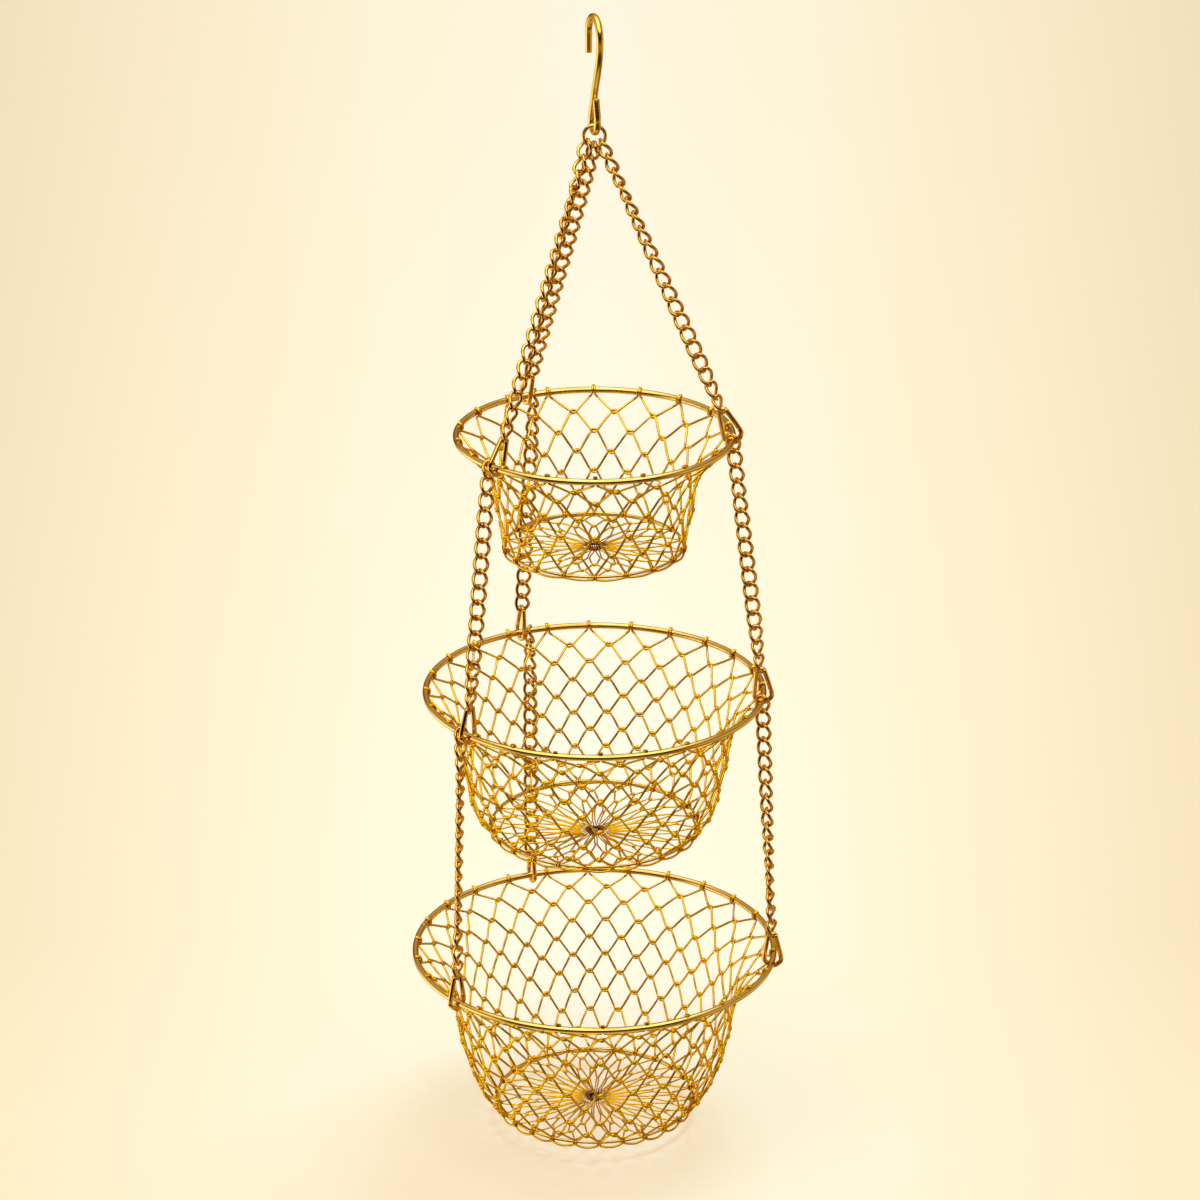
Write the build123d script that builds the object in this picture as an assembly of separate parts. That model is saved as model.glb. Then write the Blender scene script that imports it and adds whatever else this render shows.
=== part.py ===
"""Three-tier hanging wire basket: a bent wire hook, a hanging ring, nine lengths of twist-link
chain, nine closed wire clips and three round baskets of knotted diamond mesh.

Millimetres, +Z up. The origin is the inside top of the hook's bend, where the hook hangs.
Every wire is a faceted tube, so that about four hundred wires and links stay light.
"""

import os
from math import atan2, cos, degrees, pi, radians, sin, sqrt

from build123d import *

# Working gaps
LINK_GAP = 0.25          # between two links, and between a link and a clip
RIM_LINK_GAP = 0.45      # between a link and the rim that it is threaded on
RING_GAP = 0.75          # between the hanging ring and the hook's eye or a link
KNOT_GAP = 0.20          # between the two mesh wires that meet at a knot
WRAP_GAP = 0.30          # between a mesh wire's end and the rim, base ring or hub that holds it
SEAT_GAP = 1.40          # between a clip's foot and the rim that lies in it

# Hook: one bent wire that ends in a closed eye
HOOK_WIRE = 5.0
HOOK_BEND_RADIUS = 13.5  # centreline
HOOK_TIP_LENGTH = 14.0   # straight end beyond the bend
HOOK_SHANK_LENGTH = 43.5
HOOK_NECK_OFFSET = 2.8   # centreline of the shank on the tip's side of the middle, at the eye
EYE_RADIUS = 7.0         # centreline of the eye's round foot
EYE_LENGTH = 25.0        # from the neck to the centreline of the foot
EYE_CLOSING_GAP = 0.4
EYE_SWEEP_START = 170.0  # degrees, where the shank runs into the eye's round foot
EYE_SWEEP_END = 370.0
HOOK_PLANE_AZIMUTH = -73.0

# Hanging ring
RING_WIRE = 2.6
RING_RADIUS = 7.7        # centreline
RING_SPREAD = 45.0       # degrees between the chains on the ring

# Twist-link chain
LINK_WIRE = 2.1
LINK_PITCH = 11.5
LINK_WIDTH = 11.6        # outside
LINK_TWIST = -45.0       # degrees from the link's middle to each end
LAST_ROLL = 45.0         # degrees of the last link, which puts its lower end across the clip
LINK_END_SHARE = 0.66    # half width of a link's end, as a share of its half width
UPPER_LINKS = 19
MIDDLE_LINKS = 16
BOTTOM_LINKS = 17
FIRST_LINK_OFFSET = 7.5  # along the rim, from a clip to the next tier's first link

# Clips: closed wire loops, narrow at the top
CLIP_WIRE = 3.5
CLIP_LENGTH = 27.0       # centreline, top to foot
CLIP_WIDTH = 12.5        # centreline, at the widest
CLIP_TOP_RADIUS = 3.0    # centreline
CLIP_CROWN_START = 25.0   # degrees, where the top's curve ends on either side
CLIP_SHARES = ((0.42, 0.97), (0.92, 0.86), (1.00, 0.70))  # of half the width, of the length

# Baskets
RIM_WIRE = 4.2
BASE_WIRE = 2.8
MESH_WIRE = 1.6
HUB_WIRE = 2.6
HUB_RADIUS = 5.5

TOP_RADIUS = 100.0
TOP_DEPTH = 85.0
TOP_BASE_RADIUS = 65.0
TOP_FLOOR_DROP = 1.5
TOP_CELLS = 18
TOP_ROWS = 6
TOP_ROW_GROWTH = 1.0      # above 1 the rows of knots lie closer near the rim
TOP_WALL_SHARES = ((0.30, 0.775), (0.62, 0.72))

MIDDLE_RADIUS = 125.0
MIDDLE_DEPTH = 109.0
MIDDLE_BASE_RADIUS = 77.0
MIDDLE_FLOOR_DROP = 6.0
MIDDLE_CELLS = 24
MIDDLE_ROWS = 9
MIDDLE_ROW_GROWTH = 1.0
MIDDLE_WALL_SHARES = ((0.216, 0.834), (0.446, 0.80), (0.675, 0.755), (0.86, 0.72))

BOTTOM_RADIUS = 136.0
BOTTOM_DEPTH = 127.0
BOTTOM_BASE_RADIUS = 75.0
BOTTOM_FLOOR_DROP = 2.0
BOTTOM_CELLS = 26
BOTTOM_ROWS = 10
BOTTOM_ROW_GROWTH = 1.08
BOTTOM_WALL_SHARES = ((0.205, 0.815), (0.52, 0.762), (0.717, 0.71), (0.874, 0.655))

# Azimuths of the clips in degrees, 0 along +X, anticlockwise from above
TOP_RIGHT_AZIMUTH = -1.0
TOP_BACK_AZIMUTH = 121.0
TOP_FRONT_AZIMUTH = 226.0
MIDDLE_BACK_AZIMUTH = 117.0
MIDDLE_FRONT_AZIMUTH = 223.0
BOTTOM_BACK_AZIMUTH = 111.5
BOTTOM_FRONT_AZIMUTH = 221.5

# Facets
LINK_SIDES = 3
MESH_SIDES = 3
CLIP_SIDES = 4
RIM_SIDES = 4
HOOK_SIDES = 6
RIM_SEGMENTS = 32
BASE_SEGMENTS = 24
HUB_SEGMENTS = 8
RING_SEGMENTS = 16
BEND_STEPS = 8
EYE_STEPS = 6
CLIP_STEPS = 4
STEEP = 0.9               # upward share of a direction above which another axis gives its normal
STRAIGHT = 1e-6           # radians, below which a corner is none

# Sizes that follow from those above
LINK_REACH = (LINK_PITCH + LINK_WIRE + LINK_GAP) / 2   # centre of a link to its end's centreline
LINK_HALF = (LINK_WIDTH - LINK_WIRE) / 2
BEND_CENTRE_Z = HOOK_WIRE / 2 - HOOK_BEND_RADIUS
NECK_Z = BEND_CENTRE_Z - HOOK_SHANK_LENGTH
EYE_FOOT_Z = NECK_Z - EYE_LENGTH
RING_CENTRE_Z = EYE_FOOT_Z + HOOK_WIRE / 2 + RING_GAP + RING_WIRE / 2 - RING_RADIUS
HOOK_ALONG = Vector(cos(radians(HOOK_PLANE_AZIMUTH)), sin(radians(HOOK_PLANE_AZIMUTH)), 0)


def polar(radius, azimuth, z):
    """The point at a radius, an azimuth in degrees and a height."""
    return Vector(radius * cos(radians(azimuth)), radius * sin(radians(azimuth)), z)


def turned(vector, axis, angle):
    """The vector turned about a unit axis by an angle in radians."""
    along = axis * axis.dot(vector)
    across = vector - along
    return along + across * cos(angle) + axis.cross(vector) * sin(angle)


def any_normal(direction):
    """A unit vector square to the direction."""
    side = Vector(0, 0, 1) if abs(direction.Z) < STEEP else Vector(1, 0, 0)
    return direction.cross(side).normalized()


def wire_solid(points, diameter, sides, closed=False):
    """A faceted round wire along the points, mitred at each corner and closed by flat triangles."""
    count = len(points)
    spans = count if closed else count - 1
    runs = [(points[(i + 1) % count] - points[i]).normalized() for i in range(spans)]
    normals = [any_normal(runs[0])]
    for before, after in zip(runs, runs[1:] + runs[:1]):
        axis = before.cross(after)
        turn = atan2(axis.length, before.dot(after))
        normals.append(turned(normals[-1], axis.normalized(), turn) if turn > STRAIGHT else normals[-1])
    twist = 0.0
    if closed:
        last = normals.pop()
        side = runs[0].cross(last)
        step = 2 * pi / sides
        miss = atan2(normals[0].dot(side), normals[0].dot(last))
        twist = (miss - step * round(miss / step)) / spans
    sections = []
    for i in range(count):
        k = min(i, spans - 1)
        run = runs[k]
        mitre = run
        if closed or 0 < i < spans:
            mitre = (run + runs[i - 1]).normalized()
        ring = []
        for s in range(sides):
            spoke = turned(normals[k], run, 2 * pi * s / sides + twist * i) * (diameter / 2)
            ring.append(points[i] + spoke - run * (spoke.dot(mitre) / run.dot(mitre)))
        sections.append(ring)
    shift = 0
    if closed:
        first = sections[0]
        end = turned(normals[-1], runs[-1], twist * count) * (diameter / 2)
        mitre = (runs[0] + runs[-1]).normalized()
        reach = points[0] + end - runs[-1] * (end.dot(mitre) / runs[-1].dot(mitre))
        shift = min(range(sides), key=lambda s: (first[s] - reach).length)
    faces = []
    for i in range(spans):
        here = sections[i]
        there = sections[(i + 1) % count]
        skip = shift if closed and i == spans - 1 else 0
        for s in range(sides):
            a, b = here[s], here[(s + 1) % sides]
            c, d = there[(s + 1 + skip) % sides], there[(s + skip) % sides]
            faces.append(Face(Wire.make_polygon([a, b, c])))
            faces.append(Face(Wire.make_polygon([a, c, d])))
    if not closed:
        for ring in (sections[0], sections[-1]):
            faces.append(Face(Wire.make_polygon(ring)))
    solid = Solid(Shell(faces))
    return solid if solid.volume > 0 else Solid(Shell([-face for face in faces]))


def save(name, solids):
    """Writes one sub-part, a single solid or a group of separate ones."""
    group = list(solids)
    part = group[0] if len(group) == 1 else Compound(children=group)
    export_step(part, f"parts/{name}.step")


def arc(centre, radius, start, end, steps):
    """Points of an arc in a plane, as pairs, with both ends."""
    turn = [start + (end - start) * i / steps for i in range(steps + 1)]
    return [(centre[0] + radius * cos(radians(t)), centre[1] + radius * sin(radians(t))) for t in turn]


def make_hook():
    """The hook in its own upright plane: tip, bend, leaning shank, and the eye back to the shank."""
    flat = [(-HOOK_BEND_RADIUS, BEND_CENTRE_Z - HOOK_TIP_LENGTH)]
    flat += arc((0, BEND_CENTRE_Z), HOOK_BEND_RADIUS, 180, 0, BEND_STEPS)
    flat.append((-HOOK_NECK_OFFSET, NECK_Z))
    flat += arc((0, EYE_FOOT_Z + EYE_RADIUS), EYE_RADIUS, EYE_SWEEP_START, EYE_SWEEP_END, EYE_STEPS)
    flat.append((HOOK_WIRE + EYE_CLOSING_GAP - HOOK_NECK_OFFSET, NECK_Z))
    points = [HOOK_ALONG * across + Vector(0, 0, z) for across, z in flat]
    return wire_solid(points, HOOK_WIRE, HOOK_SIDES)


def ring_point(angle):
    """A point on the hanging ring's centreline, by the angle from its foot towards +X."""
    return Vector(RING_RADIUS * sin(radians(angle)), 0, RING_CENTRE_Z - RING_RADIUS * cos(radians(angle)))


def ring_run(angle):
    """The direction of the hanging ring's wire there."""
    return Vector(cos(radians(angle)), 0, sin(radians(angle)))


def make_hanging_ring():
    """The ring that hangs in the hook's eye, square to it."""
    points = [ring_point(360 * i / RING_SEGMENTS) for i in range(RING_SEGMENTS)]
    return wire_solid(points, RING_WIRE, RIM_SIDES, closed=True)


def make_link():
    """One link about the origin: a long hexagon twisted about Z, so its ends lie across each other."""
    flat = [(LINK_END_SHARE, 1), (-LINK_END_SHARE, 1), (-1, 0), (-LINK_END_SHARE, -1), (LINK_END_SHARE, -1), (1, 0)]
    points = []
    for across, along in flat:
        twist = radians(LINK_TWIST * along)
        reach = LINK_HALF * across
        points.append(Vector(reach * cos(twist), reach * sin(twist), LINK_REACH * along))
    return wire_solid(points, LINK_WIRE, LINK_SIDES, closed=True)


def make_clip():
    """One clip in the XZ plane, its top centreline at the origin and its foot below."""
    crown = arc((0, -CLIP_TOP_RADIUS), CLIP_TOP_RADIUS, CLIP_CROWN_START, 180 - CLIP_CROWN_START, CLIP_STEPS)
    half = CLIP_WIDTH / 2
    right = [(half * share, -CLIP_LENGTH * down) for share, down in CLIP_SHARES]
    left = [(-x, z) for x, z in right]
    flat = crown + list(reversed(left)) + right
    points = [Vector(x, 0, z) for x, z in flat]
    return wire_solid(points, CLIP_WIRE, CLIP_SIDES, closed=True)


def hang(start, end, held_wire, gap, count, crossed=None):
    """Where a chain's links and clip lie, from the centre of the wire it hangs on towards a rim.

    The first link faces outward, or with a crossed direction puts its upper end square to that."""
    down = (end - start).normalized()
    middle = (start + end) * 0.5
    outward = Vector(middle.X, middle.Y, 0)
    outward = (outward - down * outward.dot(down)).normalized()
    first_roll = 0.0
    if crossed:
        square = down.cross(crossed)
        first_roll = degrees(atan2(square.dot(outward.cross(down)), square.dot(outward))) - LINK_TWIST
        first_roll -= 180 * round((first_roll - LAST_ROLL) / 180)
    first = start + down * (LINK_REACH - held_wire / 2 - gap - LINK_WIRE / 2)
    links = []
    for i in range(count):
        plane = Plane(origin=first + down * (LINK_PITCH * i), x_dir=outward, z_dir=-down)
        roll = first_roll + (LAST_ROLL - first_roll) * i / (count - 1)
        links.append(plane.location * Location((0, 0, 0), (0, 0, roll)))
    top = first + down * (LINK_PITCH * (count - 1) + LINK_REACH - LINK_WIRE / 2 - LINK_GAP - CLIP_WIRE / 2)
    return links, Plane(origin=top, x_dir=outward, z_dir=-down).location


def hanging_length(held_wire, gap, count):
    """From the centre of the wire that a chain hangs on to the centre of the rim in its clip."""
    links = 2 * LINK_REACH - LINK_WIRE - LINK_GAP - gap + LINK_PITCH * (count - 1)
    clip = CLIP_LENGTH - CLIP_WIRE / 2 - SEAT_GAP - RIM_WIRE / 2
    return links - held_wire / 2 - CLIP_WIRE / 2 + clip


def rim_height(start, radius, azimuth, held_wire, gap, count):
    """The height of the rim that a chain from this start carries at this azimuth."""
    across = polar(radius, azimuth, start.Z) - start
    return start.Z - sqrt(hanging_length(held_wire, gap, count) ** 2 - across.length ** 2)


def closed_circle(radius, z, diameter, segments, sides):
    """A round wire bent into a level circle of this mean radius."""
    vertex = radius * 2 / (1 + cos(pi / segments))
    points = [polar(vertex, 360 * i / segments, z) for i in range(segments)]
    return wire_solid(points, diameter, sides, closed=True)


class Basket:
    """The sizes of one tier, and the shape of its wall."""

    def __init__(self, name, radius, depth, base_radius, drop, cells, rows, growth, shares):
        self.name = name
        self.radius = radius
        self.base_radius = base_radius
        self.drop = drop
        self.cells = cells
        self.rows = rows
        self.growth = growth
        self.depth = depth
        self.shares = shares

    def place(self, height, clips, held_offset):
        """Sets the rim's height, and turns the mesh so that clips and links hang beside its knots."""
        self.height = height
        self.base_height = height - self.depth
        wall = [(self.radius * r, height - self.depth * down) for down, r in self.shares]
        self.profile = [(self.radius, height)] + wall + [(self.base_radius, self.base_height)]
        cell = 360 / self.cells
        places = [azimuth - degrees(held_offset / self.radius) / 2 for azimuth in clips]
        offs = [(place - places[0] + cell / 2) % cell - cell / 2 for place in places]
        self.gap_azimuth = places[0] + (max(offs) + min(offs)) / 2

    def wall_point(self, length):
        """Radius and height at a length down the wall from the rim's centreline."""
        left = length
        for (r0, z0), (r1, z1) in zip(self.profile, self.profile[1:]):
            run = sqrt((r1 - r0) ** 2 + (z1 - z0) ** 2)
            if left <= run or (r1, z1) == self.profile[-1]:
                return r0 + (r1 - r0) * left / run, z0 + (z1 - z0) * left / run
            left -= run

    def wall_length(self):
        """The wall's length from the rim's centreline to the base ring's."""
        pairs = zip(self.profile, self.profile[1:])
        return sum(sqrt((r1 - r0) ** 2 + (z1 - z0) ** 2) for (r0, z0), (r1, z1) in pairs)

    def wall_wire(self, lean):
        """One mesh wire from rim to base ring, between two columns of knots. Lean is 0 or 1."""
        start = RIM_WIRE / 2 + WRAP_GAP
        end = self.wall_length() - BASE_WIRE / 2 - WRAP_GAP
        column = 180 / self.cells
        points = []
        for row in range(self.rows + 1):
            radius, z = self.wall_point(start + (end - start) * (row / self.rows) ** self.growth)
            off = degrees((MESH_WIRE + KNOT_GAP) / 2 / radius)
            azimuth = off if (row + lean) % 2 == 0 else column - off
            points.append(polar(radius, azimuth, z))
        return wire_solid(points, MESH_WIRE, MESH_SIDES)

    def wall_wires(self):
        """All mesh wires of the wall, two for each cell, each beside its mirror image."""
        column = 180 / self.cells
        kinds = [self.wall_wire(0), self.wall_wire(1)]
        first = self.gap_azimuth + column
        return [kinds[i % 2].rotate(Axis.Z, first + column * i) for i in range(2 * self.cells)]

    def floor_wires(self):
        """The mesh wires of the floor, gathered from the base ring to the hub."""
        outer = polar(self.base_radius - BASE_WIRE / 2 - WRAP_GAP, 0, self.base_height)
        inner = polar(HUB_RADIUS + HUB_WIRE / 2 + WRAP_GAP, 0, self.base_height - self.drop)
        one = wire_solid([outer, inner], MESH_WIRE, MESH_SIDES)
        column = 180 / self.cells
        first = self.gap_azimuth + column * (1 - self.rows % 2)
        return [one.rotate(Axis.Z, first + 2 * column * i) for i in range(self.cells)]

    def save(self):
        """Writes the basket's five sub-parts."""
        rim = closed_circle(self.radius, self.height, RIM_WIRE, RIM_SEGMENTS, RIM_SIDES)
        base = closed_circle(self.base_radius, self.base_height, BASE_WIRE, BASE_SEGMENTS, MESH_SIDES)
        hub_height = self.base_height - self.drop
        hub = closed_circle(HUB_RADIUS, hub_height, HUB_WIRE, HUB_SEGMENTS, RIM_SIDES)
        save(f"{self.name}_rim", [rim])
        save(f"{self.name}_wall_wires", self.wall_wires())
        save(f"{self.name}_base_ring", [base])
        save(f"{self.name}_floor_wires", self.floor_wires())
        save(f"{self.name}_hub", [hub])


def on_rim(radius, azimuth):
    """The azimuth of the next tier's first link, beside the clip at this azimuth."""
    return azimuth - degrees(FIRST_LINK_OFFSET / radius)


def save_chain(tier, side, solids):
    """Writes one chain, split where its links turn against each other."""
    if tier == "top":
        save(f"upper_chain_{side}", solids)
        return
    save(f"{tier}_first_link_{side}", solids[:1])
    last = -1 if side == "right" else len(solids)
    save(f"{tier}_chain_{side}", solids[1:last])
    if side == "right":
        save(f"{tier}_end_link_{side}", solids[last:])


def make_tiers():
    """The three baskets with the azimuths of their clips and the links of each chain above them."""
    top = Basket("top", TOP_RADIUS, TOP_DEPTH, TOP_BASE_RADIUS, TOP_FLOOR_DROP, TOP_CELLS, TOP_ROWS,
                 TOP_ROW_GROWTH, TOP_WALL_SHARES)
    middle = Basket("middle", MIDDLE_RADIUS, MIDDLE_DEPTH, MIDDLE_BASE_RADIUS, MIDDLE_FLOOR_DROP, MIDDLE_CELLS,
                    MIDDLE_ROWS, MIDDLE_ROW_GROWTH, MIDDLE_WALL_SHARES)
    bottom = Basket("bottom", BOTTOM_RADIUS, BOTTOM_DEPTH, BOTTOM_BASE_RADIUS, BOTTOM_FLOOR_DROP, BOTTOM_CELLS,
                    BOTTOM_ROWS, BOTTOM_ROW_GROWTH, BOTTOM_WALL_SHARES)
    middle_right = on_rim(TOP_RADIUS, TOP_RIGHT_AZIMUTH)
    bottom_right = on_rim(MIDDLE_RADIUS, middle_right)
    return [
        (top, {"right": TOP_RIGHT_AZIMUTH, "back": TOP_BACK_AZIMUTH, "front": TOP_FRONT_AZIMUTH}, UPPER_LINKS),
        (middle, {"right": middle_right, "back": MIDDLE_BACK_AZIMUTH, "front": MIDDLE_FRONT_AZIMUTH}, MIDDLE_LINKS),
        (bottom, {"right": bottom_right, "back": BOTTOM_BACK_AZIMUTH, "front": BOTTOM_FRONT_AZIMUTH}, BOTTOM_LINKS),
    ]


def build():
    """Works out the three tiers from the hook down, and writes every sub-part."""
    os.makedirs("parts", exist_ok=True)
    save("hook", [make_hook()])
    save("hanging_ring", [make_hanging_ring()])
    link = make_link()
    clip = make_clip()
    ring_angles = {"right": RING_SPREAD, "back": 0, "front": -RING_SPREAD}
    starts = {side: ring_point(angle) for side, angle in ring_angles.items()}
    held = RING_WIRE
    gap = RING_GAP
    for basket, clips, count in make_tiers():
        height = rim_height(starts["right"], basket.radius, clips["right"], held, gap, count)
        basket.place(height, clips.values(), 0 if basket.name == "bottom" else FIRST_LINK_OFFSET)
        basket.save()
        print(basket.name, "rim height", round(height, 2), "base", round(basket.base_height, 2))
        for side, azimuth in clips.items():
            end = polar(basket.radius, azimuth, height)
            crossed = ring_run(ring_angles[side]) if basket.name == "top" else None
            links, clip_place = hang(starts[side], end, held, gap, count, crossed)
            save_chain(basket.name, side, [link.moved(place) for place in links])
            save(f"{basket.name}_clip_{side}", [clip.moved(clip_place)])
            starts[side] = polar(basket.radius, on_rim(basket.radius, azimuth), height)
        held = RIM_WIRE
        gap = RIM_LINK_GAP


build()
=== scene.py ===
"""Look of the three-tier hanging wire basket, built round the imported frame.

Sizes are in millimetres, as in the CAD source, and turn to metres where a mesh is made.
"""

from math import atan2, copysign, cos, degrees, pi, radians, sin, sqrt

import bpy
from mathutils import Matrix, Vector


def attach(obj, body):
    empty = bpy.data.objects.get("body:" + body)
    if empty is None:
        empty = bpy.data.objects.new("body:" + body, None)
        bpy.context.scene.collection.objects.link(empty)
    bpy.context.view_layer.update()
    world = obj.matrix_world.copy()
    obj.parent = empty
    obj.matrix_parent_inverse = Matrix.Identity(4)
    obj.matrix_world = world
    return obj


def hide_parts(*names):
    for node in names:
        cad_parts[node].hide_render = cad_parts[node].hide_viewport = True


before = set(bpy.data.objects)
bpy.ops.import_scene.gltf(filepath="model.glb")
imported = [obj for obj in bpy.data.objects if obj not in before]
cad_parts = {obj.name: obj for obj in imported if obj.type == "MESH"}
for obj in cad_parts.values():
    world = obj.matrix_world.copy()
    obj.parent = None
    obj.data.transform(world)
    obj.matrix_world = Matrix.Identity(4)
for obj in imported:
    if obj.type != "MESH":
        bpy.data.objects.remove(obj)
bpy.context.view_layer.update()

MM = 0.001

# The same sizes as in the CAD source
LINK_GAP = 0.25
RIM_LINK_GAP = 0.45
RING_GAP = 0.75
WRAP_GAP = 0.30
SEAT_GAP = 1.40
HOOK_WIRE = 5.0
HOOK_BEND_RADIUS = 13.5
HOOK_TIP_LENGTH = 14.0
HOOK_SHANK_LENGTH = 43.5
HOOK_NECK_OFFSET = 2.8
EYE_RADIUS = 7.0
EYE_LENGTH = 25.0
EYE_CLOSING_GAP = 0.4
HOOK_PLANE_AZIMUTH = -73.0
RING_WIRE = 2.6
RING_RADIUS = 7.7
RING_SPREAD = 45.0
LINK_WIRE = 2.1
LINK_PITCH = 11.5
LINK_WIDTH = 11.6
LINK_TWIST = -45.0
LAST_ROLL = 45.0
CLIP_WIRE = 3.5
CLIP_LENGTH = 27.0
CLIP_WIDTH = 12.5
CLIP_TOP_RADIUS = 3.0
CLIP_SHARES = ((0.42, 0.97), (0.92, 0.86), (1.00, 0.70))
FIRST_LINK_OFFSET = 7.5
RIM_WIRE = 4.2
BASE_WIRE = 2.8
HUB_WIRE = 2.6
HUB_RADIUS = 5.5

# Name, rim radius, depth, base radius, floor drop, cells, rows, row growth, wall shares, clip azimuths
# and links of each basket; a right clip without an azimuth of its own hangs below the one above it
TIERS = (
    ("top", 100.0, 85.0, 65.0, 1.5, 18, 6, 1.0, ((0.30, 0.775), (0.62, 0.72)), (-1.0, 121.0, 226.0), 19),
    ("middle", 125.0, 109.0, 77.0, 6.0, 24, 9, 1.0,
     ((0.216, 0.834), (0.446, 0.80), (0.675, 0.755), (0.86, 0.72)), (None, 117.0, 223.0), 16),
    ("bottom", 136.0, 127.0, 75.0, 2.0, 26, 10, 1.08,
     ((0.205, 0.815), (0.52, 0.762), (0.717, 0.71), (0.874, 0.655)), (None, 111.5, 221.5), 17),
)
SIDES = ("right", "back", "front")

# Wires as thick as they look in the photograph
DRAWN_LINK = 2.6
DRAWN_MESH = 1.75
DRAWN_FLOOR = 1.35
DRAWN_BASE = 2.2
DRAWN_HUB = 1.9
DRAWN_RIM = 4.7
HUB_THINNING = 0.6                  # of the floor wires' thickness, where they meet
THINNING_RADII = (6.0, 30.0)        # where they are thinnest, and where they have their full thickness

# The hook's wire: how far down the shank it has leaned by how much, and its way into and out of the eye,
# as (across, below the neck)
SHANK_LEAN = ((0.12, 0.01), (0.27, 0.07), (0.45, 0.22), (0.65, 0.45), (0.85, 0.7), (1.05, 0.9))
EYE_INWARD = ((-3.6, 8.0), (-5.6, 13.0))
EYE_ARC = (168, 345)
EYE_OUTWARD = ((5.0, 14.0), (3.6, 8.0), (1.6, 1.0))

CLIP_FOOT = (0.14, 0.997)           # shares of a clip's half width and length, beside its lowest point

# A chain's links: the butt of the wire, how square the link is, and how the whole chain twists
LINK_BUTT = -38                     # degrees round the link
LINK_BUTT_OPENING = 1.4             # degrees
LINK_POINTS = 29
LINK_SQUARENESS = 0.93              # 1 is an oval
LOOSE_ROLL = 3.0                    # degrees that a link may turn by itself
TWIST_EASE = 3.5                    # links over which a chain's twist comes and goes
CHAIN_TURN = {                      # degrees that the links are turned midway and at the end
    "top": {"right": (-38, 25), "back": (28, 12), "front": (-48, -28)},
    "middle": {"right": (-38, 25), "back": (28, 12), "front": (-52, -28)},
    "bottom": {"right": (8, -155), "back": (28, 12), "front": (40, -28)},
}

# The butt weld of a rim or base ring: places along the wire, and the wire's thickness there
WELD_PLACES = (-3.2, -2.2, -1.5, -0.9, -0.4, 0.4, 0.9, 1.5, 2.2, 3.2)
WELD_SHARES = (1.0, 0.97, 0.99, 1.07, 1.10, 1.10, 1.07, 0.99, 0.97, 1.0)
WELD_AZIMUTH = {"top": 150.0, "middle": 62.0, "bottom": 165.0}
RIM_STEPS = 180
BASE_STEPS = 132
HUB_STEPS = 32
RING_STEPS = 64

# How the mesh is knotted: turns are degrees round the rim's or a ring's wire, from outward over the top,
# and slips are how far the wire lies beside its turn
WOUND_GAP = 0.1
TURN_STEP = 28                                  # degrees, about, between two points of a turn
RIM_TURN, RIM_SLIP = (72, 255), (-0.5, -1.3)
BASE_TURNS, BASE_SLIP = ((60, -235), (60, -150)), -0.85
FLOOR_TURN, FLOOR_SLIP = (20, 205), -0.8
HUB_TURN, HUB_DIVE = (30, 165), 2.6
FLOOR_SHARES = (1.0, 0.80, 0.60, 0.38, 0.17)    # of the base radius, where the floor wires meet
FLOOR_KNOT, FLOOR_KNOT_LIFT = 0.65, 0.7         # size of the floor's knots, of the wall's
KNOTTED_RINGS = 3                               # the rings of the floor further in are only bunched
BUNCH = ((2.4, 0.9), (0.0, 0.65), (-2.4, 0.9))  # outward and beside the meeting point
LOOP_SAG = {"top": 0.7, "middle": 1.2, "bottom": 1.9}   # of the wire loops under the base ring
LOOP_POINTS = 15
LOOP_MARGIN = 0.02                              # of a cell, at both ends of a loop
LOOP_ROUNDNESS = 0.8
LOOP_START = 0.75                               # of the wires' reach, how far down a loop starts
LOOP_OUT, LOOP_BULGE = 0.8, 0.9
MESH_STRAY = 1.9
STRAY_SCALE = 45.0                              # per metre, so a wire wanders to and fro in about 22 mm

LINK_REACH = (LINK_PITCH + LINK_WIRE + LINK_GAP) / 2
LINK_HALF = (LINK_WIDTH - LINK_WIRE) / 2
BEND_CENTRE_Z = HOOK_WIRE / 2 - HOOK_BEND_RADIUS
NECK_Z = BEND_CENTRE_Z - HOOK_SHANK_LENGTH
EYE_FOOT_Z = NECK_Z - EYE_LENGTH
RING_CENTRE_Z = EYE_FOOT_Z + HOOK_WIRE / 2 + RING_GAP + RING_WIRE / 2 - RING_RADIUS


# Shapes as lists of points

def polar(radius, azimuth, z):
    """The point at a radius, an azimuth in degrees and a height."""
    return Vector((radius * cos(radians(azimuth)), radius * sin(radians(azimuth)), z))


def spline(points, steps, closed=False):
    """A smooth line through all the points, with this many steps between two of them."""
    count = len(points)
    out = []
    for i in range(count if closed else count - 1):
        if closed:
            p = [points[(i + k) % count] for k in (-1, 0, 1, 2)]
        else:
            p = [points[max(0, min(count - 1, i + k))] for k in (-1, 0, 1, 2)]
        for s in range(steps):
            t = s / steps
            out.append(0.5 * (2 * p[1] + (p[2] - p[0]) * t + (2 * p[0] - 5 * p[1] + 4 * p[2] - p[3]) * t * t
                              + (3 * p[1] - p[0] - 3 * p[2] + p[3]) * t ** 3))
    if not closed:
        out.append(points[-1])
    return out


def arc(centre, radius, start, end, steps):
    """Points of an arc in a plane, as pairs, with both ends."""
    turn = [radians(start + (end - start) * i / steps) for i in range(steps + 1)]
    return [(centre[0] + radius * cos(t), centre[1] + radius * sin(t)) for t in turn]


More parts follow.
